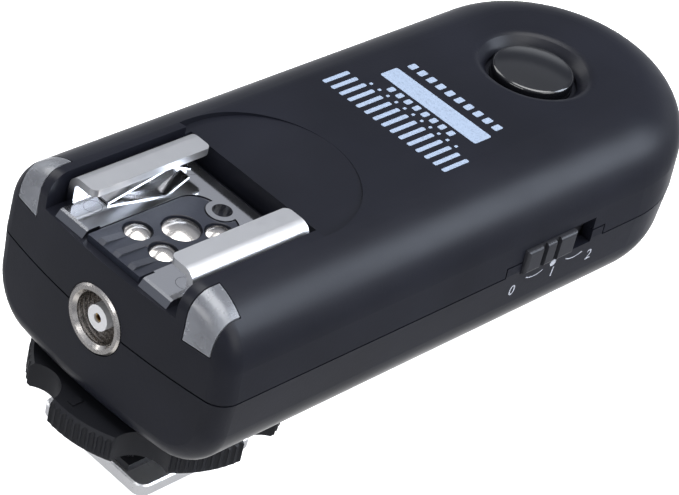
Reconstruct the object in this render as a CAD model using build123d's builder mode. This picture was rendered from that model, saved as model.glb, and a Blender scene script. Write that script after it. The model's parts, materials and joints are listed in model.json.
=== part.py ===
"""Wireless flash trigger: a two-shell radio unit with a hot shoe on top and a locking foot below.

Frame: millimetres, +Z up. The origin is the centre of the foot's underside. The front end, with the
sync port, faces -Y, and the round rear end, with the test button, faces +Y. The power switch is at +X.
"""
from build123d import *
import os

os.makedirs("parts", exist_ok=True)

# ---- driving dimensions ------------------------------------------------------------------------
LENGTH = 95.2                            # front face to rear tip
HALF_WIDTH = 19.75                       # at the parting line
FRONT_Y = -12.9
REAR_Y = FRONT_Y + LENGTH - HALF_WIDTH   # axis of the round rear end
BOTTOM_Z, TOP_Z = 9.9, 34.4
PART_Z = 21.85                           # where the two shells meet
WALL = 1.6
FRONT_BOW_R = 96.0                       # the front face is a shallow arc in plan
FRONT_EDGE_R = 2.9
TOP_EDGE_R, BOTTOM_EDGE_R = 8.5, 7.2
SEAM_GAP, SEAM_DEPTH = 0.22, 0.5         # groove seen between the shells
RUN = 0.08                               # radial running clearance

# Hot shoe on top
WELL_HALF, WELL_REAR, WELL_FLOOR_Z = 11.4, 9.8, 29.9
SHEET = 1.0
PLATE_TOP = WELL_FLOOR_Z + SHEET
RAIL_TOP, RAIL_GAP, RAIL_OUTER = 34.65, 13.1, 10.75
RAIL_FRONT, RAIL_REAR, EAR_FRONT = -9.75, 8.5, -11.2
INSERT_HALF, INSERT_TOP = 4.6, 30.75
CENTRE_CONTACT = (0, -1.3)
SMALL_CONTACTS = [(-2.2, -6.15), (2.3, -6.15), (2.85, 2.1)]
LOCK_HOLE_Y, LOCK_HOLE_R, RING_R = 5.1, 1.25, 2.0
INSERT_REAR, INSERT_FRONT = 5.4, -11.7
GUIDE_BARS = [(-2.4, -11.7, -7.9), (0.2, -11.7, -4.2), (2.8, -11.7, -7.9)]
RIVETS = [(sx * 8.1, y) for sx in (-1, 1) for y in (-8.0, 7.2)]
TERMINAL_Z, TERMINAL_T = 26.9, 0.9
UNDER_FLOOR_Z = TERMINAL_Z + TERMINAL_T

# Foot below
RISE = 1.0                               # the foot's own height is drawn this much lower, see save()
FOOT_X, FOOT_Y, FOOT_T = 18.6, 18.6, 2.0
STEM_R, WING_Z = 6.1, 3.0
STEM_SEAT_Z, STEM_FLANGE_T, STEM_FLANGE_R = 13.0, 1.4, 8.6
WHEEL_Z, WHEEL_T, WHEEL_R = 5.9, 3.6, 15.8
WHEEL_LOBES, TEETH_PER_LOBE, TOOTH_PITCH, SCALLOP_START = 6, 9, 3.9, -49.0
WASHER_T, WASHER_R = 0.4, 12.4
INSULATOR_R, INSULATOR_TOP = 5.6, 6.0
FOOT_BOARD_T = 0.8
FOOT_PINS = [(-2.2, -3.6), (2.2, -3.6), (2.9, 2.9)]
FOOT_SCREWS = [(sx * 4.5, sy * 7.2) for sx in (-1, 1) for sy in (-1, 1)]
STEM_SCREWS = [(sx * 5.2, sy * 5.2) for sx in (-1, 1) for sy in (-1, 1)]

# Controls
BUTTON_Y, BUTTON_R, BUTTON_GROOVE_R, DISH_R = 59.5, 5.45, 6.1, 8.4
DISH_Z = TOP_Z - 1.8
SLOT_Y0, SLOT_Y1, SLOT_Z0, SLOT_Z1 = 39.8, 53.3, 21.35, 25.1
KNOB_Y1 = 49.2
STEP_Y0, STEP_Y1, STEP_RISE = 36.9, 55.7, 1.45

# Sockets
PORT_Z, PORT_R, PORT_BODY_R, PORT_FACE_Y = PART_Z, 4.45, 3.95, -13.1
PORT_SEAT_Y = -12.0
JACK_Y, JACK_Z, JACK_BORE_R, JACK_R = 6.0, 18.6, 1.3, 2.4

# Board, battery bay and case screws
BOARD_Z, BOARD_T = 23.2, 1.2
BOARD_TOP = BOARD_Z + BOARD_T
CELL_R, CELL_LENGTH, CELL_X, CELL_Z, CELL_Y = 5.2, 44.5, 5.35, 17.05, 28.5
BAY_HALF, BAY_FRONT, BAY_REAR, BAY_TOP = 10.9, 17.0, 74.4, 22.4
DOOR_FRONT, DOOR_T, DOOR_HALF = 17.8, 1.5, 12.0
CASE_SCREWS = [(sx * 16.0, y) for sx in (-1, 1) for y in (14.4, 60.0)]
BOSS_R = 1.95
WINDOW_X0, WINDOW_X1, WINDOW_REAR, WINDOW_LOW = 12.9, 16.8, -7.9, 27.8
CHANNEL_X = [-3.81, -1.27, 1.27, 3.81]
CHANNEL_Y, CHANNEL_FACE_Z = 21.9, 18.9


# ---- helpers -----------------------------------------------------------------------------------
def block(x0, x1, y0, y1, z0, z1):
    """A plain block between two corners, used to build up or cut away."""
    centre = ((x0 + x1) / 2, (y0 + y1) / 2, (z0 + z1) / 2)
    return Pos(*centre) * Box(x1 - x0, y1 - y0, z1 - z0, mode=Mode.PRIVATE)


def rod(x, y, z0, z1, radius):
    """A plain upright cylinder from z0 to z1."""
    return Pos(x, y, (z0 + z1) / 2) * Cylinder(radius, z1 - z0, mode=Mode.PRIVATE)


def rod_y(x, z, y0, y1, radius):
    """A plain cylinder along Y."""
    return Pos(x, (y0 + y1) / 2, z) * Rot(90, 0, 0) * Cylinder(radius, y1 - y0, mode=Mode.PRIVATE)


def rod_x(y, z, x0, x1, radius):
    """A plain cylinder along X."""
    return Pos((x0 + x1) / 2, y, z) * Rot(0, 90, 0) * Cylinder(radius, x1 - x0, mode=Mode.PRIVATE)


def cut(*tools):
    """Take each tool away from the part being built."""
    for tool in tools:
        add(tool, mode=Mode.SUBTRACT)


def dome(radius, z, height):
    """Arc of a dome's profile, from its rim up to the axis."""
    sphere = (radius**2 + height**2) / (2 * height)
    middle = z + height - sphere + (sphere**2 - radius**2 / 4) ** 0.5
    return ThreePointArc((radius, z), (radius / 2, middle), (0, z + height))


FOOT_NODES = ("foot_stem", "foot_plate", "foot_screws", "foot_insulator", "foot_centre_pin",
              "foot_signal_pins", "foot_pin_springs", "foot_contact_board", "foot_cable")


def save(part, name):
    """Export one node. The foot is drawn up from its underside; all else is raised onto its stem."""
    if name not in FOOT_NODES:
        part = Pos(0, 0, RISE) * part
    part.label = name
    export_step(part, f"parts/{name}.step")


def housing_section(inset):
    """Cross-section of the body across X and Z, drawn inset from the outside surface."""
    with BuildSketch(Plane.XZ.offset(-REAR_Y)) as section:
        with BuildLine():
            Polyline(
                (-19.0, BOTTOM_Z), (19.0, BOTTOM_Z), (HALF_WIDTH, PART_Z), (19.2, TOP_Z),
                (-19.2, TOP_Z), (-HALF_WIDTH, PART_Z), close=True,
            )
        make_face()
        fillet(section.vertices().group_by(Axis.Y)[-1], TOP_EDGE_R)
        fillet(section.vertices().group_by(Axis.Y)[0], BOTTOM_EDGE_R)
        if inset:
            offset(amount=-inset, mode=Mode.REPLACE)
    return section.sketch


def housing_form(inset):
    """The whole body as one solid: straight sides, a round rear end and a bowed, soft-edged front."""
    section = housing_section(inset)
    half = split(section, bisect_by=Plane.YZ)
    with BuildPart() as form:
        extrude(section, amount=REAR_Y - FRONT_Y + 5)
        with BuildSketch(Plane.XY):
            with Locations((0, FRONT_Y + FRONT_BOW_R)):
                Circle(FRONT_BOW_R - inset)
        extrude(amount=TOP_Z + 5, mode=Mode.INTERSECT)
        fillet(form.faces().sort_by(Axis.Y)[0].edges(), FRONT_EDGE_R - inset)
        revolve(half, Axis((0, REAR_Y, 0), (0, 0, 1)), 180)
    return form.part


def upper_region(drop):
    """Everything above the parting line, which steps up round the power switch."""
    region = block(-60, 60, -60, 120, PART_Z - drop, 60)
    return region - block(14, 60, STEP_Y0 + drop, STEP_Y1 - drop, PART_Z - drop - 1, PART_Z + STEP_RISE - drop)


def window_band(grow):
    """The band that a status window takes out of the shell at the right front corner."""
    return block(WINDOW_X0 - grow, WINDOW_X1 + grow, FRONT_Y - 5, WINDOW_REAR + grow, WINDOW_LOW - grow, 40)


def door_prism(grow):
    """Dovetail that the battery door slides in, open at the rear end."""
    top = BOTTOM_Z + DOOR_T + grow
    with BuildPart() as prism:
        with BuildSketch(Plane.XZ.offset(-DOOR_FRONT + grow)):
            with BuildLine():
                Polyline(
                    (-DOOR_HALF - grow, 5), (DOOR_HALF + grow, 5), (DOOR_HALF + grow, BOTTOM_Z + 0.3),
                    (DOOR_HALF + 1 + grow, top), (-DOOR_HALF - 1 - grow, top),
                    (-DOOR_HALF - grow, BOTTOM_Z + 0.3), close=True,
                )
            make_face()
        extrude(amount=-90)
        add(block(-DOOR_HALF + 3 - grow, DOOR_HALF - 3 + grow, 77 - grow, 100, 5, BOTTOM_Z + 4 + grow))
    return prism.part


OUTER = housing_form(0)
INNER = housing_form(WALL)
CORE = housing_form(SEAM_DEPTH)           # ribs and bosses stop short of the outside surface
ABOVE = upper_region(0)
SHELL = OUTER - INNER

with BuildPart() as ramp_cutter:
    with BuildSketch(Plane.YZ.offset(-13)):
        with BuildLine():
            Polyline((WELL_REAR - 1, TOP_Z - 1.1), (22.7, TOP_Z), (22.7, 38), (WELL_REAR - 1, 38), close=True)
        make_face()
    extrude(amount=26)
    with BuildSketch(Plane.XY.offset(28)):
        with Locations((0, WELL_REAR)):
            Circle(12.7)
    extrude(amount=12, mode=Mode.INTERSECT)

with BuildPart() as dish_cutter:
    with BuildSketch(Plane.XZ.offset(-BUTTON_Y)):
        with BuildLine():
            Line((0, DISH_Z), (BUTTON_GROOVE_R, DISH_Z))
            ThreePointArc((BUTTON_GROOVE_R, DISH_Z), (6.75, TOP_Z - 0.95), (7.35, TOP_Z - 0.35))
            ThreePointArc((7.35, TOP_Z - 0.35), (7.8, TOP_Z - 0.1), (DISH_R, TOP_Z))
            Polyline((DISH_R, TOP_Z), (DISH_R, TOP_Z + 2), (0, TOP_Z + 2), (0, DISH_Z))
        make_face()
    revolve(axis=Axis((0, BUTTON_Y, 0), (0, 0, 1)))

# ---- shells ------------------------------------------------------------------------------------
with BuildPart() as upper_housing:
    add(SHELL)
    add(block(-12.5, 12.5, -20, 12.6, UNDER_FLOOR_Z, 40) & CORE)        # box round the shoe well
    for x, y in CASE_SCREWS:
        add(rod(x, y, PART_Z, 40, BOSS_R) & CORE)
    add(rod(0, BUTTON_Y, 30.8, 33.4, BUTTON_GROOVE_R + 1.4))             # collar that guides the button
    add(ABOVE, mode=Mode.INTERSECT)
    cut(block(-WELL_HALF, WELL_HALF, -20, WELL_REAR, WELL_FLOOR_Z, 40), ramp_cutter.part, dish_cutter.part)
    cut(rod(0, BUTTON_Y, 20, 40, BUTTON_R + RUN), rod(0, BUTTON_Y, 32.0, 40, BUTTON_GROOVE_R))
    cut(window_band(0.15), mirror(window_band(0.15), about=Plane.YZ, mode=Mode.PRIVATE))
    cut(rod_y(0, PORT_Z, -16, -5, PORT_BODY_R + 0.05), rod_y(0, PORT_Z, -16, PORT_SEAT_Y, PORT_R + 0.1))
    cut(block(16.5, 25, SLOT_Y0, SLOT_Y1, SLOT_Z0, SLOT_Z1))
    for x, y in SMALL_CONTACTS + [CENTRE_CONTACT] + RIVETS:
        cut(rod(x, y, 25, 31, 0.75))
    for x, y in CASE_SCREWS:
        cut(rod(x, y, PART_Z - 1, 28, 0.86))

with BuildPart() as lower_housing:
    add(SHELL)
    add(block(-9.6, 9.6, -12.7, 9.6, BOTTOM_Z, STEM_SEAT_Z) & CORE)      # thick floor over the foot
    for x, y in CASE_SCREWS:
        add(rod(x, y, 5, PART_Z, BOSS_R) & CORE)
    add(block(-20, 20, BAY_FRONT - 1.2, BAY_FRONT, BOTTOM_Z, PART_Z) & CORE)        # bulkhead
    for y in (31.0, 63.6):
        add(block(-20, 20, y, y + 1.2, BOTTOM_Z, 20.0) & CORE)          # ribs from the bay to the sides
    add(block(-BAY_HALF - 1, BAY_HALF + 1, BAY_FRONT - 1.2, BAY_REAR + 1, BOTTOM_Z, BAY_TOP + 0.6) & CORE)
    cut(ABOVE - block(-BAY_HALF - 1, BAY_HALF + 1, BAY_FRONT - 1.2, BAY_REAR + 1, 15, BAY_TOP + 0.6))
    cut(block(-BAY_HALF, BAY_HALF, BAY_FRONT, BAY_REAR, 5, BAY_TOP))
    cut(door_prism(0.15))
    cut(upper_region(SEAM_GAP) - CORE)                 # visible seam
    cut(block(-CHANNEL_X[3] - 2.6, CHANNEL_X[3] + 2.6, CHANNEL_Y - 3.3, CHANNEL_Y + 3.3, 20, 30))
    cut(rod(0, 0, 5, 14, STEM_R + 0.05), rod_y(0, PORT_Z, -16, -5, PORT_BODY_R + 0.05))
    cut(rod_y(0, PORT_Z, -16, PORT_SEAT_Y, PORT_R + 0.1), rod_x(JACK_Y, JACK_Z, -25, -15, JACK_R + 0.05))
    cut(block(16.5, 25, SLOT_Y0, SLOT_Y1, SLOT_Z0, SLOT_Z1))
    for x, y in STEM_SCREWS:
        cut(rod(x, y, 10.6, 14, 0.71))
    for x, y in CASE_SCREWS:
        cut(rod(x, y, 5, 13.6, 1.75), rod(x, y, 5, 25, 0.95))

with BuildPart() as battery_door:
    add(SHELL & door_prism(0))
    for y in (64.0, 66.2, 68.4):
        cut(block(-6, 6, y, y + 0.9, 5, BOTTOM_Z + 0.45))                # finger grip grooves

with BuildPart() as housing_screws:
    for x, y in CASE_SCREWS:
        add([rod(x, y, 12.4, 13.6, 1.6), rod(x, y, 13.6, 26.5, 0.85)])
        cut(block(x - 1.1, x + 1.1, y - 0.2, y + 0.2, 12, 13), block(x - 0.2, x + 0.2, y - 1.1, y + 1.1, 12, 13))

with BuildPart() as status_window_right:
    add(SHELL & window_band(0))
    add((INNER - housing_form(2.5)) & block(12.7, 18.1, FRONT_Y, WINDOW_REAR + 0.9, WINDOW_LOW - 0.9, 40))
    add(block(13.6, 16.0, -9.7, -8.1, 26.9, 30.8))                       # light guide down to the lamp
status_window_left = mirror(status_window_right.part, about=Plane.YZ)

# ---- test button and its switch -----------------------------------------------------------------
with BuildPart() as test_button:
    with BuildSketch(Plane.XZ.offset(-BUTTON_Y)):
        with BuildLine():
            Polyline((0, 29.9), (2.2, 29.9), (2.2, 30.05), (6.9, 30.05), (6.9, 30.7), (BUTTON_R, 30.7),
                     (BUTTON_R, 33.5))
            ThreePointArc((BUTTON_R, 33.5), (5.3, 33.8), (4.95, 33.93))
            dome(4.95, 33.93, 0.65)
            Line((0, 34.58), (0, 29.9))
        make_face()
    revolve(axis=Axis((0, BUTTON_Y, 0), (0, 0, 1)))

with BuildPart() as button_switch_body:
    add(block(-3, 3, BUTTON_Y - 3, BUTTON_Y + 3, BOARD_TOP, 28.4))
    cut(rod(0, BUTTON_Y, 25.9, 29, 1.75 + RUN))
    for sx in (-1, 1):
        for y in (BUTTON_Y - 2.2, BUTTON_Y + 2.2):
            add(block(min(sx * 3, sx * 4.3), max(sx * 3, sx * 4.3), y - 0.35, y + 0.35, BOARD_TOP, BOARD_TOP + 0.5))

with BuildPart() as button_switch_plunger:
    add(rod(0, BUTTON_Y, 27.0, 29.8, 1.75))

# ---- power switch --------------------------------------------------------------------------------
with BuildPart() as power_switch_knob:
    add(block(17.4, 20.35, SLOT_Y0 + 0.15, KNOB_Y1, SLOT_Z0 + 0.15, SLOT_Z1 - 0.15))
    fillet(power_switch_knob.faces().sort_by(Axis.X)[-1].edges(), 0.45)
    for y in (43.1, 45.6):
        cut(block(19.75, 21, y - 0.45, y + 0.45, 15, 30))
    add(block(16.95, 17.8, 35.5, 53.7, 20.2, 26.2))
    cut(block(16.9, 17.9, 43.5, 45.3, 21.6, 22.8))

with BuildPart() as power_switch_body:
    add(block(12.6, 16.4, 40.6, 52.2, 19.8, BOARD_Z))
    cut(block(14.2, 16.6, 42.9, 49.9, 21.4, 22.9))
    for y in (42.5, 46.4, 50.3):
        add(block(13.9, 14.5, y - 0.3, y + 0.3, BOARD_Z, BOARD_TOP + 0.5))

with BuildPart() as power_switch_lever:
    add(block(14.6, 17.7, 43.6, 45.2, 21.65, 22.75))

# ---- hot shoe ------------------------------------------------------------------------------------
INNER_EDGE = RAIL_GAP / 2
def insert_outline(half):
    """Upright prism of the opening for the contact block: open at the front, round-cornered at the rear."""
    with BuildPart() as prism:
        with BuildSketch(Plane.XY.offset(25)):
            with Locations((0, (INSERT_REAR - 20) / 2)):
                RectangleRounded(2 * half, INSERT_REAR + 20 - 2 * (INSERT_HALF - half), min(3.0, half - 0.1))
        extrude(amount=8)
    return prism.part


with BuildPart() as shoe_plate:
    with BuildSketch(Plane.XZ.offset(-RAIL_REAR)) as channel:
        with BuildLine():
            Polyline((0, WELL_FLOOR_Z), (RAIL_OUTER, WELL_FLOOR_Z), (RAIL_OUTER, RAIL_TOP), (INNER_EDGE, RAIL_TOP),
                     (INNER_EDGE, RAIL_TOP - SHEET), (RAIL_OUTER - SHEET, RAIL_TOP - SHEET),
                     (RAIL_OUTER - SHEET, PLATE_TOP), (0, PLATE_TOP), close=True)
        make_face()
        fillet(channel.vertices().filter_by(lambda v: abs(v.X - RAIL_OUTER) < 0.01), 1.7)
        fillet(channel.vertices().filter_by(lambda v: abs(v.X - RAIL_OUTER + SHEET) < 0.01), 0.5)
        mirror(about=Plane.YZ)
    extrude(amount=RAIL_REAR - RAIL_FRONT)
    lips = shoe_plate.edges().filter_by(Axis.Z).filter_by(lambda e: abs(abs(e.center().X) - INNER_EDGE) < 0.01)
    fillet(lips, 0.9)                                                    # flange corners, front and rear
    # front ears of the base, with lips that slant down
    with BuildSketch(Plane.YZ.offset(4.9)):
        with BuildLine():
            Polyline((RAIL_FRONT, WELL_FLOOR_Z), (EAR_FRONT, WELL_FLOOR_Z), (EAR_FRONT - 0.95, WELL_FLOOR_Z + 0.05),
                     (EAR_FRONT - 0.35, PLATE_TOP - 0.15), (EAR_FRONT, PLATE_TOP), (RAIL_FRONT, PLATE_TOP), close=True)
        make_face()
    extrude(amount=4.8)
    mirror(about=Plane.YZ)
    # opening for the contact block, with a round rear end, and the ring tab for a locking pin
    cut(insert_outline(INSERT_HALF))
    add(rod(0, LOCK_HOLE_Y, WELL_FLOOR_Z, PLATE_TOP, RING_R))
    cut(rod(0, LOCK_HOLE_Y, 25, 33, LOCK_HOLE_R))
    for x, y in RIVETS:
        cut(rod(x, y, 25, 33, 0.75), rod(x, y, PLATE_TOP - 0.4, 33, 1.15))
    for sx in (-1, 1):
        cut(block(sx * 8.4 - 0.9, sx * 8.4 + 0.9, -6.4, -5.8, 25, 33))   # slot that holds the leaf spring

with BuildPart() as shoe_insert:
    add(insert_outline(INSERT_HALF - 0.1) & block(-10, 10, INSERT_FRONT, 20, WELL_FLOOR_Z, INSERT_TOP))
    cut(rod(0, LOCK_HOLE_Y, 25, 33, RING_R + 0.1))
    for x, y0, y1 in GUIDE_BARS:
        with BuildSketch(Plane.YZ.offset(x - 0.5)):
            with Locations((0, 0)):
                Polygon((y0, INSERT_TOP - 0.3), (y0, INSERT_TOP), (y0 + 0.5, INSERT_TOP + 0.4), (y1, INSERT_TOP),
                        (y1, INSERT_TOP - 0.3), align=None)
        extrude(amount=1.0)
    cut(rod(*CENTRE_CONTACT, 25, 33, 0.75), rod(*CENTRE_CONTACT, WELL_FLOOR_Z + 0.2, 33, 2.5))
    for x, y in SMALL_CONTACTS:
        cut(rod(x, y, 25, 33, 0.75), rod(x, y, WELL_FLOOR_Z + 0.2, 33, 1.85))

def shoe_contact(x, y, radius):
    """A domed contact with a thin tail down to the terminal board."""
    seat, tail = WELL_FLOOR_Z + 0.2, TERMINAL_Z - 0.4
    with BuildPart() as contact:
        with BuildSketch(Plane.XZ):
            with BuildLine():
                Polyline((0, tail), (0.7, tail), (0.7, seat), (radius, seat), (radius, INSERT_TOP - 0.25))
                dome(radius, INSERT_TOP - 0.25, 0.55)
                Line((0, INSERT_TOP + 0.3), (0, tail))
            make_face()
        revolve(axis=Axis.Z)
    return Pos(x, y, 0) * contact.part


shoe_centre_contact = shoe_contact(*CENTRE_CONTACT, 2.3)
with BuildPart() as shoe_signal_contacts:
    for x, y in SMALL_CONTACTS:
        add(shoe_contact(x, y, 1.65))

with BuildPart() as shoe_spring_right:
    with BuildSketch(Plane.YZ.offset(7.4)):
        with BuildLine():
            Polyline((-6.3, WELL_FLOOR_Z + 0.2), (-6.05, WELL_FLOOR_Z + 0.2), (-6.05, PLATE_TOP + 0.1),
                     (3.2, PLATE_TOP + 2.05), (6.6, PLATE_TOP + 0.5), (6.6, PLATE_TOP + 0.75),
                     (3.25, PLATE_TOP + 2.3), (-6.3, PLATE_TOP + 0.35), close=True)
        make_face()
    extrude(amount=1.7)
    cut(block(7, 7.6, -8, -5, 28, PLATE_TOP), block(9.2, 10, -8, -5, 28, PLATE_TOP))
shoe_spring_left = mirror(shoe_spring_right.part, about=Plane.YZ)

with BuildPart() as shoe_rivets:
    for x, y in RIVETS:
        add([rod(x, y, PLATE_TOP - 0.4, PLATE_TOP, 1.1), rod(x, y, TERMINAL_Z - 0.5, PLATE_TOP, 0.7)])
        add(rod(x, y, TERMINAL_Z - 0.5, TERMINAL_Z, 1.15))

with BuildPart() as shoe_terminal_board:
    add(block(-10.0, 10.0, -9.6, 8.8, TERMINAL_Z, UNDER_FLOOR_Z))
    for x, y in RIVETS + SMALL_CONTACTS + [CENTRE_CONTACT]:
        cut(rod(x, y, 20, 30, 0.75))

# ---- sync port -----------------------------------------------------------------------------------
with BuildPart() as pc_port_shell:
    add([rod_y(0, PORT_Z, PORT_FACE_Y, PORT_SEAT_Y, PORT_R), rod_y(0, PORT_Z, PORT_SEAT_Y, -7.3, PORT_BODY_R)])
    chamfer(pc_port_shell.faces().sort_by(Axis.Y)[0].edges(), 0.25)
    cut(rod_y(0, PORT_Z, -20, -8.5, 3.3), rod_y(0, PORT_Z, -20, 0, 2.0))
    cut(Pos(0, PORT_FACE_Y + 0.2, PORT_Z) * Rot(90, 0, 0) * Cone(3.3, 3.75, 0.5, mode=Mode.PRIVATE))
    for turn in range(5):
        cut(rod_y(0, PORT_Z, -12.4 + turn * 0.7, -12.05 + turn * 0.7, 3.6))

with BuildPart() as pc_port_insulator:
    add([rod_y(0, PORT_Z, -9.0, -6.9, 1.98), rod_y(0, PORT_Z, -12.4, -8.5, 1.65)])
    cut(rod_y(0, PORT_Z, -20, 0, 0.62))

with BuildPart() as pc_port_centre_contact:
    add(rod_y(0, PORT_Z, -12.1, -5.7, 0.6))
    cut(rod_y(0, PORT_Z, -20, -9.6, 0.4))

with BuildPart() as pc_port_nut:
    with BuildSketch(Plane.XZ.offset(11.1)):
        with Locations((0, PORT_Z)):
            RegularPolygon(5.15, 6)
            Circle(PORT_BODY_R + 0.02, mode=Mode.SUBTRACT)
    extrude(amount=-1.6)

# ---- release jack --------------------------------------------------------------------------------
with BuildPart() as release_jack:
    add([block(-17.5, -8.4, JACK_Y - 2.9, JACK_Y + 2.9, 16.0, 21.2), rod_x(JACK_Y, JACK_Z, -19.3, -17.5, JACK_R)])
    cut(rod_x(JACK_Y, JACK_Z, -21, -9.0, JACK_BORE_R))
    for x in (-16.4, -12.6, -9.6):
        add(block(x - 0.3, x + 0.3, JACK_Y + 2.0, JACK_Y + 2.3, 21.2, BOARD_TOP + 0.5))

# ---- foot and locking wheel ----------------------------------------------------------------------
with BuildPart() as foot_stem:
    seat = STEM_SEAT_Z + RISE
    add([rod(0, 0, FOOT_T, seat, STEM_R), rod(0, 0, seat, seat + STEM_FLANGE_T, STEM_FLANGE_R)])
    add(block(-STEM_R, STEM_R, -8.7, 8.7, FOOT_T, WING_Z))
    cut(rod(0, 0, 0, INSULATOR_TOP + FOOT_BOARD_T, INSULATOR_R + 0.03), rod(0, 0, 0, 20, 3.6))
    for level in range(9):
        z = 3.35 + level * 0.75
        cut(rod(0, 0, z, z + 0.35, STEM_R + 1) - rod(0, 0, z, z + 0.35, STEM_R - 0.28))     # thread
    for sx in (-1, 1):
        cut(block(sx * 6.0 - 0.35, sx * 6.0 + 0.35, -0.8, 0.8, WING_Z, BOTTOM_Z + RISE))                 # keyways
    for x, y in FOOT_SCREWS:
        cut(rod(x, y, 0, 5, 0.72))
    for x, y in STEM_SCREWS:
        cut(rod(x, y, seat, 16, 0.9))

with BuildPart() as stem_screws:
    for x, y in STEM_SCREWS:
        seat = STEM_SEAT_Z + STEM_FLANGE_T
        add([rod(x, y, seat, seat + 0.9, 1.3), rod(x, y, 10.8, seat, 0.7)])
        cut(block(x - 0.9, x + 0.9, y - 0.15, y + 0.15, seat + 0.5, seat + 2))

with BuildPart() as foot_plate:
    with BuildSketch(Plane.XY):
        RectangleRounded(FOOT_X, FOOT_Y, 1.5)
    extrude(amount=FOOT_T)
    chamfer(foot_plate.faces().sort_by(Axis.Z)[0].outer_wire().edges(), 0.35)
    chamfer(foot_plate.faces().sort_by(Axis.Z)[-1].outer_wire().edges(), 0.2)
    cut(rod(0, 0, -1, 3, INSULATOR_R + 0.03))
    for x, y in FOOT_SCREWS:
        cut(rod(x, y, -1, 3, 0.8), rod(x, y, -1, 0.9, 1.35))

with BuildPart() as foot_screws:
    for x, y in FOOT_SCREWS:
        add([rod(x, y, 0.1, 0.9, 1.25), rod(x, y, 0.9, 2.9, 0.7)])
        cut(block(x - 0.8, x + 0.8, y - 0.15, y + 0.15, 0, 0.45), block(x - 0.15, x + 0.15, y - 0.8, y + 0.8, 0, 0.45))

with BuildPart() as foot_insulator:
    add(rod(0, 0, 0.05, INSULATOR_TOP, INSULATOR_R))
    cut(rod(0, 0, -1, 7, 1.3 + RUN), rod(0, 0, 1.4, 7, 1.9))
    for x, y in FOOT_PINS:
        cut(rod(x, y, -1, 7, 0.8 + RUN), rod(x, y, 1.4, 7, 1.3))

with BuildPart() as foot_centre_pin:
    add([rod(0, 0, -0.6, 1.55, 1.3), rod(0, 0, 1.55, 2.3, 1.75)])
    fillet(foot_centre_pin.faces().sort_by(Axis.Z)[0].edges(), 0.5)

with BuildPart() as foot_signal_pins:
    for x, y in FOOT_PINS:
        add([rod(x, y, -0.6, 1.55, 0.8), rod(x, y, 1.55, 2.3, 1.15)])
    fillet(foot_signal_pins.faces().group_by(Axis.Z)[0].edges(), 0.4)

with BuildPart() as foot_pin_springs:
    for x, y, coil in [(0, 0, 1.45)] + [(x, y, 0.95) for x, y in FOOT_PINS]:
        for turn in range(6):
            with Locations((x, y, 2.48 + 0.66 * turn)):
                Torus(coil, 0.16)
        add(block(x + coil - 0.12, x + coil + 0.12, y - 0.12, y + 0.12, 2.35, INSULATOR_TOP))

with BuildPart() as foot_contact_board:
    add(rod(0, 0, INSULATOR_TOP, INSULATOR_TOP + FOOT_BOARD_T, INSULATOR_R))

with BuildPart() as foot_cable:
    add(block(-2.6, 2.6, 1.6, 2.0, INSULATOR_TOP + FOOT_BOARD_T, BOARD_Z + RISE))

with BuildPart() as wheel_blank:
    with BuildSketch(Plane.XZ):
        Polygon((0, WHEEL_Z), (WHEEL_R - 0.4, WHEEL_Z), (WHEEL_R, WHEEL_Z + 0.4), (WHEEL_R, WHEEL_Z + WHEEL_T - 0.55),
                (WHEEL_R - 0.55, WHEEL_Z + WHEEL_T), (0, WHEEL_Z + WHEEL_T), align=None)
    revolve(axis=Axis.Z)
with BuildPart() as locking_wheel:
    with BuildSketch(Plane.XY.offset(WHEEL_Z)):
        Circle(WHEEL_R)
        Circle(STEM_R + RUN, mode=Mode.SUBTRACT)
        for lobe in range(WHEEL_LOBES):
            with PolarLocations(WHEEL_R + 0.9, 1, SCALLOP_START + lobe * 360 / WHEEL_LOBES):
                Circle(3.7, mode=Mode.SUBTRACT)
            first = SCALLOP_START + (lobe + 0.5) * 360 / WHEEL_LOBES - TOOTH_PITCH * (TEETH_PER_LOBE - 1) / 2
            for tooth in range(TEETH_PER_LOBE):
                with PolarLocations(WHEEL_R + 0.12, 1, first + tooth * TOOTH_PITCH):
                    Circle(0.42, mode=Mode.SUBTRACT)
    extrude(amount=WHEEL_T)
    add(wheel_blank.part, mode=Mode.INTERSECT)
    add(block(-0.5, 0.5, -14.2, -12.6, WHEEL_Z + WHEEL_T - 0.2, WHEEL_Z + WHEEL_T + 0.2))    # raised mark

with BuildPart() as clamp_washer:
    add(rod(0, 0, WHEEL_Z - WASHER_T - 0.05, WHEEL_Z - 0.05, WASHER_R))
    cut(rod(0, 0, 0, 10, STEM_R + RUN))
    for sx in (-1, 1):
        add(block(sx * 6.05 - 0.3, sx * 6.05 + 0.3, -0.72, 0.72, WHEEL_Z - WASHER_T - 0.05, WHEEL_Z - 0.05))

# ---- main board and its components ---------------------------------------------------------------
with BuildPart() as main_board:
    with BuildSketch(Plane.XY.offset(BOARD_Z)):
        with Locations((0, 26.3)):
            RectangleRounded(33.0, 71.2, 2.5)
        with Locations((0, REAR_Y)):
            Circle(15.5)
    extrude(amount=BOARD_T)
    cut(block(-5.6, 5.6, -13, -5.2, 20, 26))
    for x, y in CASE_SCREWS:
        cut(rod(x, y, 20, 26, BOSS_R + 0.25))
    for y in (42.5, 46.4, 50.3):
        cut(block(13.9, 14.5, y - 0.3, y + 0.3, 20, 26))
    for x in (-16.4, -12.6, -9.6):
        cut(block(x - 0.3, x + 0.3, JACK_Y + 2.0, JACK_Y + 2.3, 20, 26))
    cut(block(15.9, 20, 34.5, 58.2, 20, 26))

with BuildPart() as radio_module:
    add(block(-7.5, 7.5, 34.0, 50.0, BOARD_TOP, BOARD_TOP + 0.8))
    add(block(-6.3, 6.3, 35.0, 46.0, BOARD_TOP + 0.8, BOARD_TOP + 2.6))

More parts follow.
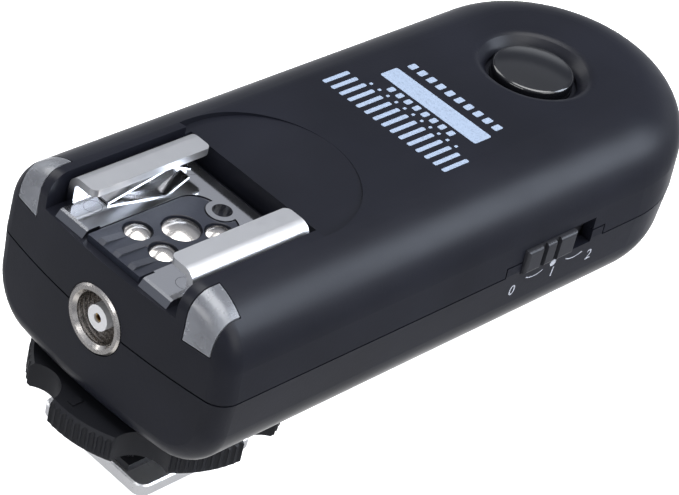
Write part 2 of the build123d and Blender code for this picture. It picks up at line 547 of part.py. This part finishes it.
with BuildPart() as microcontroller:
    add(block(-4.5, 4.5, 17.0, 26.0, BOARD_TOP + 0.15, BOARD_TOP + 1.4))
    for index in range(9):
        y = 17.9 + index * 0.9
        add(block(-5.6, 5.6, y - 0.17, y + 0.17, BOARD_TOP, BOARD_TOP + 0.45))

with BuildPart() as crystal:
    add(block(7.2, 10.4, 18.0, 26.0, BOARD_TOP, BOARD_TOP + 2.6))
    fillet(crystal.edges().filter_by(Axis.Z), 1.4)

with BuildPart() as capacitors:
    for x, y in ((-11.5, 28.0), (-11.5, 36.5), (11.5, 31.0)):
        add(rod(x, y, BOARD_TOP, BOARD_TOP + 4.6, 2.5))

with BuildPart() as opto_coupler:
    add(block(-10.6, -6.4, 13.6, 18.6, BOARD_TOP, BOARD_TOP + 2.0))

with BuildPart() as antenna:
    with BuildSketch(Plane.XZ.offset(-REAR_Y)):
        with Locations((13.2, 26.2)):
            Circle(0.45)
    revolve(axis=Axis((0, REAR_Y, 0), (0, 0, 1)), revolution_arc=150)
    add(rod(13.2, REAR_Y, BOARD_TOP, 26.5, 0.45))

with BuildPart() as status_leds:
    for sx in (-1, 1):
        add(block(sx * 14.2 - 1.1, sx * 14.2 + 1.1, -8.9, -5.7, BOARD_TOP, BOARD_TOP + 0.9))
        add(rod(sx * 14.2, -7.3, BOARD_TOP + 0.9, BOARD_TOP + 1.7, 0.9))

# ---- channel switch in the battery bay -----------------------------------------------------------
with BuildPart() as channel_switch_body:
    add(block(-6.1, 6.1, CHANNEL_Y - 3.1, CHANNEL_Y + 3.1, CHANNEL_FACE_Z, BOARD_Z))
    for x in CHANNEL_X:
        cut(block(x - 0.65, x + 0.65, CHANNEL_Y - 1.6, CHANNEL_Y + 1.6, 15, CHANNEL_FACE_Z + 1.6))

channel_sliders = []
for x in CHANNEL_X:
    with BuildPart() as channel_slider:
        add(block(x - 0.57, x + 0.57, CHANNEL_Y - 1.5, CHANNEL_Y + 0.1, CHANNEL_FACE_Z + 0.3, CHANNEL_FACE_Z + 1.5))
        add(block(x - 0.45, x + 0.45, CHANNEL_Y - 1.2, CHANNEL_Y - 0.2, CHANNEL_FACE_Z - 0.5, CHANNEL_FACE_Z + 0.4))
    channel_sliders.append(channel_slider.part)

# ---- battery bay ---------------------------------------------------------------------------------
for side, sign in (("left", -1), ("right", 1)):
    with BuildPart() as cell:
        add(rod_y(sign * CELL_X, CELL_Z, CELL_Y, CELL_Y + CELL_LENGTH - 1.0, CELL_R))
        fillet(cell.edges().filter_by(GeomType.CIRCLE), 0.5)
        nub = (CELL_Y - 0.8, CELL_Y) if sign < 0 else (CELL_Y + CELL_LENGTH - 1.0, CELL_Y + CELL_LENGTH - 0.2)
        add(rod_y(sign * CELL_X, CELL_Z, nub[0], nub[1], 1.9))
    save(cell.part, f"battery_cell_{side}")

with BuildPart() as battery_springs:
    for x, y0, y1 in ((CELL_X, CELL_Y - 1.5, CELL_Y), (-CELL_X, CELL_Y + CELL_LENGTH - 1.0, CELL_Y + 45.2)):
        for turn, radius in enumerate((3.6, 3.0, 2.4)):
            y = y0 + 0.3 + turn * (y1 - y0 - 0.6) / 2 if x > 0 else y1 - 0.3 - turn * (y1 - y0 - 0.6) / 2
            with Locations(Location((x, y, CELL_Z), (90, 0, 0))):
                Torus(radius, 0.25)
        add(block(x + 2.3, x + 3.7, y0, y1, CELL_Z - 0.15, CELL_Z + 0.15))

with BuildPart() as battery_bridge_plate:
    add(block(-9.2, 9.2, CELL_Y + 45.2, CELL_Y + 45.8, 13.0, 21.0))

with BuildPart() as battery_terminals:
    add([block(x, x + 8, CELL_Y - 1.9, CELL_Y - 1.5, 13.0, 21.6) for x in (-9.2, 1.2)])
    add(block(-6.4, -4.3, CELL_Y - 1.5, CELL_Y - 0.8, 16.0, 18.1))

with BuildPart() as terminal_holder:
    add(block(-BAY_HALF + 0.1, BAY_HALF - 0.1, CELL_Y - 2.9, CELL_Y - 1.9, 12.0, BAY_TOP))

PARTS = {
    "upper_housing": upper_housing.part, "lower_housing": lower_housing.part, "battery_door": battery_door.part,
    "housing_screws": housing_screws.part, "status_window_right": status_window_right.part,
    "status_window_left": status_window_left, "test_button": test_button.part,
    "button_switch_body": button_switch_body.part, "button_switch_plunger": button_switch_plunger.part,
    "power_switch_knob": power_switch_knob.part, "power_switch_body": power_switch_body.part,
    "power_switch_lever": power_switch_lever.part, "shoe_plate": shoe_plate.part,
    "shoe_insert": shoe_insert.part, "shoe_centre_contact": shoe_centre_contact,
    "shoe_signal_contacts": shoe_signal_contacts.part, "shoe_spring_right": shoe_spring_right.part,
    "shoe_spring_left": shoe_spring_left, "shoe_rivets": shoe_rivets.part,
    "shoe_terminal_board": shoe_terminal_board.part, "pc_port_shell": pc_port_shell.part,
    "pc_port_insulator": pc_port_insulator.part, "pc_port_centre_contact": pc_port_centre_contact.part,
    "pc_port_nut": pc_port_nut.part, "release_jack": release_jack.part, "foot_stem": foot_stem.part,
    "stem_screws": stem_screws.part, "foot_plate": foot_plate.part, "foot_screws": foot_screws.part,
    "foot_insulator": foot_insulator.part, "foot_centre_pin": foot_centre_pin.part,
    "foot_signal_pins": foot_signal_pins.part, "foot_pin_springs": foot_pin_springs.part,
    "foot_contact_board": foot_contact_board.part, "foot_cable": foot_cable.part,
    "locking_wheel": locking_wheel.part, "clamp_washer": clamp_washer.part, "main_board": main_board.part,
    "radio_module": radio_module.part, "microcontroller": microcontroller.part, "crystal": crystal.part,
    "capacitors": capacitors.part, "opto_coupler": opto_coupler.part, "antenna": antenna.part,
    "status_leds": status_leds.part, "channel_switch_body": channel_switch_body.part,
    "battery_springs": battery_springs.part, "battery_bridge_plate": battery_bridge_plate.part,
    "battery_terminals": battery_terminals.part, "terminal_holder": terminal_holder.part,
}
for name, part in PARTS.items():
    save(part, name)
for number, part in enumerate(channel_sliders, start=1):
    save(part, f"channel_slider_{number}")
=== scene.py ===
"""Looks for the wireless flash trigger: materials, printed marks, floor, lights and camera, in metres."""
import json
import math

import bmesh
import bpy
from mathutils import Matrix, Vector


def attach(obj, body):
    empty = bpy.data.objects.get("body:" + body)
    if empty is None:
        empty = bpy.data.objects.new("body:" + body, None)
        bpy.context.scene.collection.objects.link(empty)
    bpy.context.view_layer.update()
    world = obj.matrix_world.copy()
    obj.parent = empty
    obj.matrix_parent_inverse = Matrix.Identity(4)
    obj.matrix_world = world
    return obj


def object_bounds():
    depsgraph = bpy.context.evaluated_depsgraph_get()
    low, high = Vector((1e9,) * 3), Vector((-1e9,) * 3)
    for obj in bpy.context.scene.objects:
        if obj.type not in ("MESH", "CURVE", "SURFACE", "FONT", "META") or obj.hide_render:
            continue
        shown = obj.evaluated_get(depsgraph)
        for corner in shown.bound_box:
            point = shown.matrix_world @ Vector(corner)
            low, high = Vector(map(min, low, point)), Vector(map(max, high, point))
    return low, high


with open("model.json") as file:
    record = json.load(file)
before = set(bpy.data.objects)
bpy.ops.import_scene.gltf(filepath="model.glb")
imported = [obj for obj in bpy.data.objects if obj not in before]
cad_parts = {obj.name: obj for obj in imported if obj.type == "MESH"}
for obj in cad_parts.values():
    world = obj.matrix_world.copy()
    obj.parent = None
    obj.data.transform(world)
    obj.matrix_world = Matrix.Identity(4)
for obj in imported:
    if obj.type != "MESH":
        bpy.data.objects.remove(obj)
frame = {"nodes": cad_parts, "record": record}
cad_low, cad_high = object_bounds()
scene = bpy.context.scene
MM = 0.001


# ---- node material helpers -----------------------------------------------------------------------
def new_material(name):
    mat = bpy.data.materials.new(name)
    mat.use_nodes = True
    tree = mat.node_tree
    tree.nodes.clear()
    out = tree.nodes.new("ShaderNodeOutputMaterial")
    shader = tree.nodes.new("ShaderNodeBsdfPrincipled")
    tree.links.new(shader.outputs[0], out.inputs[0])
    coords = tree.nodes.new("ShaderNodeTexCoord")
    return mat, tree, shader, coords.outputs["Object"]


def stretched(tree, coords, scale):
    """Coordinates stretched along the axes, for brushed, ribbed or drawn surfaces."""
    mapping = tree.nodes.new("ShaderNodeMapping")
    mapping.inputs["Scale"].default_value = scale
    tree.links.new(coords, mapping.inputs["Vector"])
    return mapping.outputs[0]


def noise(tree, coords, scale, detail=2.0, rough=0.5):
    node = tree.nodes.new("ShaderNodeTexNoise")
    node.inputs["Scale"].default_value = scale
    node.inputs["Detail"].default_value = detail
    node.inputs["Roughness"].default_value = rough
    tree.links.new(coords, node.inputs["Vector"])
    return node.outputs["Fac"]


def ramp(tree, value, stops):
    node = tree.nodes.new("ShaderNodeValToRGB")
    elements = node.color_ramp.elements
    while len(elements) < len(stops):
        elements.new(0.5)
    for element, (place, colour) in zip(elements, stops):
        element.position = place
        element.color = (*colour, 1)
    tree.links.new(value, node.inputs[0])
    return node.outputs[0]


def spread(tree, value, low, high):
    node = tree.nodes.new("ShaderNodeMapRange")
    node.inputs["From Min"].default_value = 0.3
    node.inputs["From Max"].default_value = 0.7
    node.inputs["To Min"].default_value = low
    node.inputs["To Max"].default_value = high
    tree.links.new(value, node.inputs["Value"])
    return node.outputs[0]


def bump(tree, shader, height, distance, strength=1.0, under=None):
    node = tree.nodes.new("ShaderNodeBump")
    node.inputs["Strength"].default_value = strength
    node.inputs["Distance"].default_value = distance
    tree.links.new(height, node.inputs["Height"])
    if under is not None:
        tree.links.new(under, node.inputs["Normal"])
    tree.links.new(node.outputs[0], shader.inputs["Normal"])
    return node.outputs[0]


def shade(colour, factor):
    return tuple(min(1.0, c * factor) for c in colour)


def plastic(name, colour, rough=0.4, grain=2600, depth=0.000012, vary=0.18, coat=0.0, specular=0.5):
    """Moulded plastic: spark-eroded grain, slow tone changes, faint handling smears in the gloss."""
    mat, tree, shader, coords = new_material(name)
    slow = noise(tree, coords, 60, 3)
    tree.links.new(ramp(tree, slow, [(0.3, shade(colour, 1 - vary)), (0.7, shade(colour, 1 + vary))]),
                   shader.inputs["Base Color"])
    smear = noise(tree, stretched(tree, coords, (220, 60, 160)), 1.0, 4, 0.6)
    tree.links.new(spread(tree, smear, rough * 0.88, rough * 1.12), shader.inputs["Roughness"])
    bump(tree, shader, noise(tree, coords, grain, 2), depth, 0.6)
    shader.inputs["Specular IOR Level"].default_value = specular
    shader.inputs["Coat Weight"].default_value = coat
    shader.inputs["Coat Roughness"].default_value = 0.12
    return mat


def metal(name, colour, rough=0.15, drawn=(400, 90, 400), depth=0.000006, vary=0.08):
    """Plated or rolled metal: fine drawn lines, uneven polish and slight tone changes."""
    mat, tree, shader, coords = new_material(name)
    lines = noise(tree, stretched(tree, coords, drawn), 12.0, 4, 0.7)
    cloud = noise(tree, coords, 180, 3)
    tree.links.new(ramp(tree, cloud, [(0.25, shade(colour, 1 - vary)), (0.75, shade(colour, 1 + vary))]),
                   shader.inputs["Base Color"])
    tree.links.new(spread(tree, lines, rough * 0.7, rough * 1.35), shader.inputs["Roughness"])
    bump(tree, shader, lines, depth, 0.5)
    shader.inputs["Metallic"].default_value = 1.0
    return mat


def by_height(tree, coords, low, high):
    """0 below one level and 1 above another, in metres along Z."""
    split = tree.nodes.new("ShaderNodeSeparateXYZ")
    tree.links.new(coords, split.inputs[0])
    place = tree.nodes.new("ShaderNodeMapRange")
    place.inputs["From Min"].default_value = low
    place.inputs["From Max"].default_value = high
    tree.links.new(split.outputs["Z"], place.inputs["Value"])
    return place.outputs[0]


def plated_channel(name):
    """Nickel-plated shoe: a mirror-like base, with the turned-in flanges brushed to a lighter satin."""
    mat, tree, shader, coords = new_material(name)
    level = by_height(tree, coords, 0.0324, 0.0344)
    lines = noise(tree, stretched(tree, coords, (500, 60, 500)), 12.0, 4, 0.7)
    tree.links.new(ramp(tree, level, [(0.0, (0.66, 0.66, 0.67)), (1.0, (0.66, 0.665, 0.68))]),
                   shader.inputs["Base Color"])
    polish = tree.nodes.new("ShaderNodeMath")
    polish.operation = "MULTIPLY"
    tree.links.new(spread(tree, lines, 0.9, 1.1), polish.inputs[0])
    base_to_flange = ramp(tree, level, [(0.0, (0.10, 0.10, 0.10)), (1.0, (0.38, 0.38, 0.38))])
    tree.links.new(base_to_flange, polish.inputs[1])
    tree.links.new(polish.outputs[0], shader.inputs["Roughness"])
    bump(tree, shader, lines, 0.0000005, 0.2)
    shader.inputs["Metallic"].default_value = 1.0
    return mat


def contact_block(name):
    """Dark moulded block whose raised guide bars get a lighter grey, a painted highlight where their tops catch
    the light.
    """
    mat, tree, shader, coords = new_material(name)
    level = by_height(tree, coords, 0.03174, 0.03180)
    # painted highlight: above 31.74 mm the guide bar tops take a lighter grey than the block below
    tree.links.new(ramp(tree, level, [(0.0, (0.010, 0.012, 0.020)), (1.0, (0.026, 0.028, 0.036))]),
                   shader.inputs["Base Color"])
    grain = noise(tree, coords, 2600, 3)
    tree.links.new(spread(tree, grain, 0.32, 0.46), shader.inputs["Roughness"])
    bump(tree, shader, grain, 0.000012, 0.5)
    return mat


def circuit_board(name):
    """Green solder mask with copper runs showing through as a lighter pattern."""
    mat, tree, shader, coords = new_material(name)
    bricks = tree.nodes.new("ShaderNodeTexBrick")
    bricks.inputs["Scale"].default_value = 260
    bricks.inputs["Mortar Size"].default_value = 0.06
    bricks.inputs["Color1"].default_value = (0.010, 0.085, 0.035, 1)
    bricks.inputs["Color2"].default_value = (0.012, 0.110, 0.042, 1)
    bricks.inputs["Mortar"].default_value = (0.030, 0.200, 0.075, 1)
    tree.links.new(coords, bricks.inputs["Vector"])
    tree.links.new(bricks.outputs["Color"], shader.inputs["Base Color"])
    tree.links.new(spread(tree, noise(tree, coords, 500), 0.22, 0.4), shader.inputs["Roughness"])
    bump(tree, shader, bricks.outputs["Fac"], 0.00003, 0.6)
    return mat


def frosted_window(name):
    """Frosted light guide: milky, slightly see-through, with moulded ribs under the surface."""
    mat, tree, shader, coords = new_material(name)
    wave = tree.nodes.new("ShaderNodeTexWave")
    wave.bands_direction = "Y"
    wave.inputs["Scale"].default_value = 110
    wave.inputs["Distortion"].default_value = 0.3
    wave.inputs["Detail"].default_value = 1.0
    tree.links.new(coords, wave.inputs["Vector"])
    tree.links.new(ramp(tree, wave.outputs["Fac"], [(0.1, (0.13, 0.135, 0.15)), (0.9, (0.20, 0.21, 0.23))]),
                   shader.inputs["Base Color"])
    tree.links.new(spread(tree, noise(tree, coords, 900), 0.20, 0.30), shader.inputs["Roughness"])
    bump(tree, shader, wave.outputs["Fac"], 0.00002, 0.2)
    shader.inputs["Transmission Weight"].default_value = 0.35
    shader.inputs["Subsurface Weight"].default_value = 0.15
    shader.inputs["Subsurface Radius"].default_value = (0.002, 0.002, 0.002)
    shader.inputs["Subsurface Scale"].default_value = 1.0
    return mat


def cell_sleeve(name):
    """Battery sleeve: two printed colours with a fine line between, over a steel can."""
    mat, tree, shader, coords = new_material(name)
    split = tree.nodes.new("ShaderNodeSeparateXYZ")
    tree.links.new(coords, split.inputs[0])
    place = tree.nodes.new("ShaderNodeMapRange")
    place.inputs["From Min"].default_value = 0.0285
    place.inputs["From Max"].default_value = 0.073
    tree.links.new(split.outputs["Y"], place.inputs["Value"])
    tree.links.new(ramp(tree, place.outputs[0], [
        (0.0, (0.35, 0.35, 0.36)), (0.02, (0.02, 0.03, 0.07)), (0.70, (0.02, 0.03, 0.07)),
        (0.71, (0.6, 0.6, 0.6)), (0.72, (0.28, 0.20, 0.08)), (0.97, (0.30, 0.22, 0.09)),
        (0.98, (0.4, 0.4, 0.4))]),
        shader.inputs["Base Color"])
    tree.links.new(spread(tree, noise(tree, coords, 300), 0.2, 0.34), shader.inputs["Roughness"])
    bump(tree, shader, noise(tree, coords, 900), 0.00002, 0.3)
    shader.inputs["Metallic"].default_value = 0.4
    return mat


def ink(name, colour):
    """Pad-printed ink: nearly opaque, with tiny gaps where the grain takes less of it."""
    mat, tree, shader, coords = new_material(name)
    speckle = noise(tree, coords, 3800, 3, 0.6)
    tone = ramp(tree, speckle, [(0.30, shade(colour, 0.72)), (0.48, colour)])
    tree.links.new(tone, shader.inputs["Base Color"])
    tree.links.new(spread(tree, speckle, 0.45, 0.6), shader.inputs["Roughness"])
    bump(tree, shader, speckle, 0.00001, 0.4)
    return mat


MATERIALS = {
    "housing_plastic": plastic("housing_plastic", (0.0058, 0.0063, 0.0098), 0.36, 2400, 0.000012,
                               specular=0.17),
    "blackened_screws": metal("blackened_screws", (0.06, 0.06, 0.065), 0.35),
    "window_plastic": frosted_window("window_plastic"),
    "button_plastic": plastic("button_plastic", (0.0045, 0.0047, 0.0060), 0.17, 1800, 0.000004, coat=0.5),
    "switch_metal": metal("switch_metal", (0.60, 0.60, 0.61), 0.3),
    "part_plastic": plastic("part_plastic", (0.016, 0.016, 0.018), 0.5),
    "knob_plastic": plastic("knob_plastic", (0.016, 0.0165, 0.020), 0.40, 2600, 0.000012, specular=0.3),
    "shoe_metal": plated_channel("shoe_metal"),
    "insert_plastic": contact_block("insert_plastic"),
    "contact_metal": metal("contact_metal", (0.62, 0.59, 0.56), 0.20, (300, 300, 300), 0.000001),
    "spring_steel": metal("spring_steel", (0.72, 0.72, 0.73), 0.16, (400, 60, 400)),
    "board": circuit_board("board"),
    "port_metal": metal("port_metal", (0.60, 0.57, 0.54), 0.24, (300, 300, 300), 0.000001),
    "port_insulator": plastic("port_insulator", (0.36, 0.36, 0.365), 0.4, 2600, vary=0.08),
    "brass_contact": metal("brass_contact", (0.70, 0.46, 0.18), 0.2, (300, 300, 300)),
    "jack_plastic": plastic("jack_plastic", (0.010, 0.010, 0.011), 0.34),
    "stem_plastic": plastic("stem_plastic", (0.008, 0.0085, 0.0105), 0.42, specular=0.25),
    "steel_screws": metal("steel_screws", (0.62, 0.62, 0.64), 0.24, (300, 300, 300)),
    "foot_metal": metal("foot_metal", (0.90, 0.90, 0.905), 0.36, (120, 500, 500), 0.000004),
    "cable": plastic("cable", (0.62, 0.61, 0.56), 0.5, 2600, vary=0.1),
    "wheel_plastic": plastic("wheel_plastic", (0.0070, 0.0074, 0.0095), 0.42, 2200, 0.000014, specular=0.2),
    "washer_metal": metal("washer_metal", (0.66, 0.66, 0.67), 0.26),
    "chip": plastic("chip", (0.010, 0.010, 0.011), 0.6, 1500, 0.00002),
    "capacitor": metal("capacitor", (0.50, 0.50, 0.52), 0.28),
    "lamp": plastic("lamp", (0.75, 0.72, 0.58), 0.2, 1500, vary=0.1),
    "channel_switch": plastic("channel_switch", (0.42, 0.020, 0.016), 0.3, 1500),
    "slider_plastic": plastic("slider_plastic", (0.72, 0.72, 0.68), 0.4, 1500, vary=0.08),
    "cell_wrap": cell_sleeve("cell_wrap"),
}
SLOT_OF = {entry["node"]: entry["material_slot"] for entry in frame["record"]["subparts"]}
for node, obj in frame["nodes"].items():
    if obj.type == "MESH":
        for slot in obj.material_slots:
            slot.material = MATERIALS[SLOT_OF[node]]
        if not obj.material_slots:
            obj.data.materials.append(MATERIALS[SLOT_OF[node]])

PRINT = ink("print_ink", (0.21, 0.26, 0.345))
PRINT_SIDE = ink("print_ink_side", (0.22, 0.23, 0.26))


# ---- printed marks -------------------------------------------------------------------------------
def patch(name, outlines, place, material, body, thick=0.02):
    """A group of thin flat shapes: outlines are lists of (u, v) in mm, and place maps them into the frame."""
    mesh = bpy.data.meshes.new(name)
    bm = bmesh.new()
    for outline in outlines:
        ring = [bm.verts.new((u * MM, v * MM, 0)) for u, v in outline]
        face = bm.faces.new(ring)
        if face.normal.z < 0:
            face.normal_flip()
        top = bmesh.ops.extrude_face_region(bm, geom=[face])
        bmesh.ops.translate(bm, verts=[g for g in top["geom"] if isinstance(g, bmesh.types.BMVert)],
                            vec=(0, 0, thick * MM))
    bmesh.ops.recalc_face_normals(bm, faces=bm.faces)
    bm.to_mesh(mesh)
    bm.free()
    mesh.transform(place)
    mesh.materials.append(material)
    obj = bpy.data.objects.new(name, mesh)
    scene.collection.objects.link(obj)
    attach(obj, body)
    return obj


def rounded(u0, v0, u1, v1, r, steps=5):
    """Outline of a rectangle with round corners."""
    points = []
    corners = ((u1 - r, v1 - r, 0), (u0 + r, v1 - r, 90), (u0 + r, v0 + r, 180), (u1 - r, v0 + r, 270))
    for cu, cv, start in corners:
        for step in range(steps + 1):
            a = math.radians(start + 90 * step / steps)
            points.append((cu + r * math.cos(a), cv + r * math.sin(a)))
    return points


def arc_band(u, v, r, width, start, end, steps=16):
    """Outline of a curved stroke with square ends."""
    angles = [math.radians(start + (end - start) * k / steps) for k in range(steps + 1)]
    outer = [(u + (r + width / 2) * math.cos(a), v + (r + width / 2) * math.sin(a)) for a in angles]
    inner = [(u + (r - width / 2) * math.cos(a), v + (r - width / 2) * math.sin(a)) for a in reversed(angles)]
    return outer + inner


# The print on top reads from the -X side, so u runs along -X and v towards -Y.
TOP_Z = 35.405                                                     # just above the housing's flat top
PRINT_Y = 0.038                                                    # middle of the print
top_place = Matrix.Translation((0, PRINT_Y, TOP_Z * MM)) @ Matrix.Rotation(math.pi, 4, "Z")


def bar_row(count, left, pitch, width, low, high, corner):
    """Outlines of a row of equal bars, from low to high, with rounded corners."""
    return [rounded(left + k * pitch, low, left + k * pitch + width, high, corner) for k in range(count)]


marks = bar_row(15, -10.9, 1.5, 0.65, 2.5, 7.0, 0.2)               # bold row of upright bars
marks += bar_row(11, -8.0, 1.5, 0.4, 1.45, 1.95, 0.12)             # small row
marks += bar_row(8, -5.9, 1.5, 0.8, -0.35, 0.85, 0.2)              # middle row
marks.append(rounded(-8.6, -4.0, 8.2, -0.9, 0.3))                  # solid bar
marks += bar_row(10, -8.0, 1.65, 0.95, -6.8, -5.4, 0.2)            # thin row
patch("top_print", marks, top_place, PRINT, "unit")


SIDE_LOW_X, SIDE_LOW_Z = 19.0, 10.9                                # where the lower shell's side turns straight
SIDE_LEAN, SIDE_RUN = 0.75, 11.95                                  # how far it leans out, over that height
SIDE_TILT = math.atan2(SIDE_LEAN, SIDE_RUN)
INK_LIFT = 0.00001                                                 # print stands this far off the side
FONT_PER_DIGIT = 1.38                                              # font size for a digit one unit high


def side_x(z):
    """Outside surface of the lower shell's side, where it is straight."""
    return SIDE_LOW_X + SIDE_LEAN * (z - SIDE_LOW_Z) / SIDE_RUN


def side_place(y, z):
    """Print coordinates on the right side: u along +Y, v up, w out of the surface."""
    out = Vector((math.cos(SIDE_TILT), 0, -math.sin(SIDE_TILT)))
    up = Vector((math.sin(SIDE_TILT), 0, math.cos(SIDE_TILT)))
    turn = Matrix((Vector((0, 1, 0)), up, out)).transposed().to_4x4()
    return Matrix.Translation(Vector((side_x(z) * MM, y * MM, z * MM)) + out * INK_LIFT) @ turn


def number(text, name, y, z, height):
    """A raised digit on the right side, height in millimetres."""
    curve = bpy.data.curves.new(name, "FONT")
    curve.body = text
    curve.size = height * MM * FONT_PER_DIGIT
    curve.align_x = "CENTER"
    curve.extrude = INK_LIFT
    curve.resolution_u = 6
    holder = bpy.data.objects.new(name + "_source", curve)
    scene.collection.objects.link(holder)
    mesh = bpy.data.meshes.new_from_object(holder)
    bpy.data.objects.remove(holder)
    mesh.transform(side_place(y, z))
    mesh.materials.clear()
    mesh.materials.append(PRINT_SIDE)
    obj = bpy.data.objects.new(name, mesh)
    scene.collection.objects.link(obj)
    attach(obj, "unit")


for text, y in (("0", 39.4), ("1", 47.0), ("2", 54.2)):
    number(text, "side_number_" + text, y, 19.1, 1.7)
leads = [arc_band(0, 0, 0.28, 0.56, 0, 360, 20)]
leads.append(arc_band(-3.4, 2.6, 3.4, 0.16, 242, 298))
leads.append(arc_band(4.2, 2.6, 3.4, 0.16, 242, 298))
patch("side_leads", leads, side_place(46.5, 21.55), PRINT_SIDE, "unit", 0.01)

# ---- floor, lights and camera --------------------------------------------------------------------
floor_mesh = bpy.data.meshes.new("floor")
span = 3.0
floor_z = cad_low.z - 0.0001
floor_corners = [(x, y, floor_z) for x, y in ((-span, -span), (span, -span), (span, span), (-span, span))]
floor_mesh.from_pydata(floor_corners, [], [(0, 1, 2, 3)])
floor = bpy.data.objects.new("floor", floor_mesh)
scene.collection.objects.link(floor)
floor.visible_glossy = False                                       # the sheet is lit apart from the subject
floor_mat, floor_tree, floor_shader, floor_coords = new_material("floor_paper")
paper_tone = ramp(floor_tree, noise(floor_tree, floor_coords, 30, 3),
                  [(0.3, (0.90, 0.90, 0.905)), (0.7, (0.93, 0.93, 0.935))])
floor_tree.links.new(paper_tone, floor_shader.inputs["Base Color"])
floor_shader.inputs["Roughness"].default_value = 0.9
floor_shader.inputs["Emission Color"].default_value = (1, 1, 1, 1)
floor_shader.inputs["Emission Strength"].default_value = 0.75
floor_mesh.materials.append(floor_mat)

world = bpy.data.worlds.new("studio")
scene.world = world
world.use_nodes = True
wt = world.node_tree
wt.nodes.clear()
w_out = wt.nodes.new("ShaderNodeOutputWorld")
w_back = wt.nodes.new("ShaderNodeBackground")
w_coord = wt.nodes.new("ShaderNodeTexCoord")
w_split = wt.nodes.new("ShaderNodeSeparateXYZ")
wt.links.new(w_coord.outputs["Generated"], w_split.inputs[0])
w_level = wt.nodes.new("ShaderNodeMapRange")                       # 0 straight down, 1 straight up
w_level.inputs["From Min"].default_value = -1.0
w_level.inputs["From Max"].default_value = 1.0
wt.links.new(w_split.outputs["Z"], w_level.inputs["Value"])
w_sky = ramp(wt, w_level.outputs[0], [
    (0.0, (1.0, 1.0, 1.0)), (0.125, (1.0, 1.0, 1.0)), (0.18, (0.36, 0.37, 0.40)),
    (0.42, (0.28, 0.29, 0.32)), (0.52, (0.60, 0.62, 0.66)), (0.60, (0.50, 0.52, 0.56)),
    (0.67, (0.13, 0.14, 0.17)), (0.74, (0.16, 0.17, 0.20)), (0.79, (0.42, 0.44, 0.49)),
    (1.0, (0.50, 0.52, 0.56))])
w_behind = wt.nodes.new("ShaderNodeVectorMath")                    # lit sheet low behind, for the rims
w_behind.operation = "DOT_PRODUCT"
w_behind.inputs[1].default_value = (-0.487, 0.646, -0.588)
wt.links.new(w_coord.outputs["Generated"], w_behind.inputs[0])
w_sheet = ramp(wt, w_behind.outputs["Value"], [(0.86, (0.0, 0.0, 0.0)), (0.97, (1.5, 1.5, 1.5))])
w_sum = wt.nodes.new("ShaderNodeMix")
w_sum.data_type = "RGBA"
w_sum.blend_type = "ADD"
w_sum.inputs[0].default_value = 1.0                                # 6, 7 and output 2 are its colour sockets
wt.links.new(w_sky, w_sum.inputs[6])
wt.links.new(w_sheet, w_sum.inputs[7])
wt.links.new(w_sum.outputs[2], w_back.inputs["Color"])
w_back.inputs["Strength"].default_value = 1.0
wt.links.new(w_back.outputs[0], w_out.inputs[0])


def softbox(name, place, target, size, power, colour=(1, 1, 1)):
    data = bpy.data.lights.new(name, "AREA")
    data.shape = "RECTANGLE"
    data.size, data.size_y = size
    data.energy = power
    data.color = colour
    obj = bpy.data.objects.new(name, data)
    obj.location = place
    obj.rotation_mode = "QUATERNION"
    obj.rotation_quaternion = (Vector(target) - Vector(place)).to_track_quat("-Z", "Y")
    scene.collection.objects.link(obj)


middle = (0.0, 0.035, 0.02)
softbox("overhead_softbox", (0.12, 0.05, 0.75), middle, (0.55, 0.8), 9.0)
softbox("right_softbox", (0.75, 0.10, 0.42), middle, (0.5, 0.7), 3.5)
softbox("shoulder_softbox", (0.52, 0.60, 0.45), middle, (0.45, 0.5), 6.0, (0.80, 0.88, 1.0))
softbox("left_softbox", (-0.7, -0.1, 0.5), middle, (0.4, 0.6), 3.0)
softbox("front_softbox", (0.05, -0.8, 0.35), middle, (0.6, 0.35), 3.0)

AZIMUTH, ELEVATION, ROLL = (math.radians(v) for v in (37.17, 35.85, 14.31))
CAMERA_PLACE = (0.17001, -0.19540, 0.22056)
LENS = 146.70
back = Vector((math.sin(AZIMUTH) * math.cos(ELEVATION), -math.cos(AZIMUTH) * math.cos(ELEVATION),
               math.sin(ELEVATION)))
right = Vector((math.cos(AZIMUTH), math.sin(AZIMUTH), 0))
up = back.cross(right)
level = Matrix((right, up, back)).transposed()
camera_data = bpy.data.cameras.new("camera")
camera_data.sensor_width = 36.0
camera_data.lens = LENS
camera_data.clip_start, camera_data.clip_end = 0.01, 20
camera = bpy.data.objects.new("camera", camera_data)
camera.matrix_world = (Matrix.Translation(CAMERA_PLACE) @ level.to_4x4()
                       @ Matrix.Rotation(ROLL, 4, "Z"))
scene.collection.objects.link(camera)
scene.camera = camera
scene.view_settings.view_transform = "Standard"
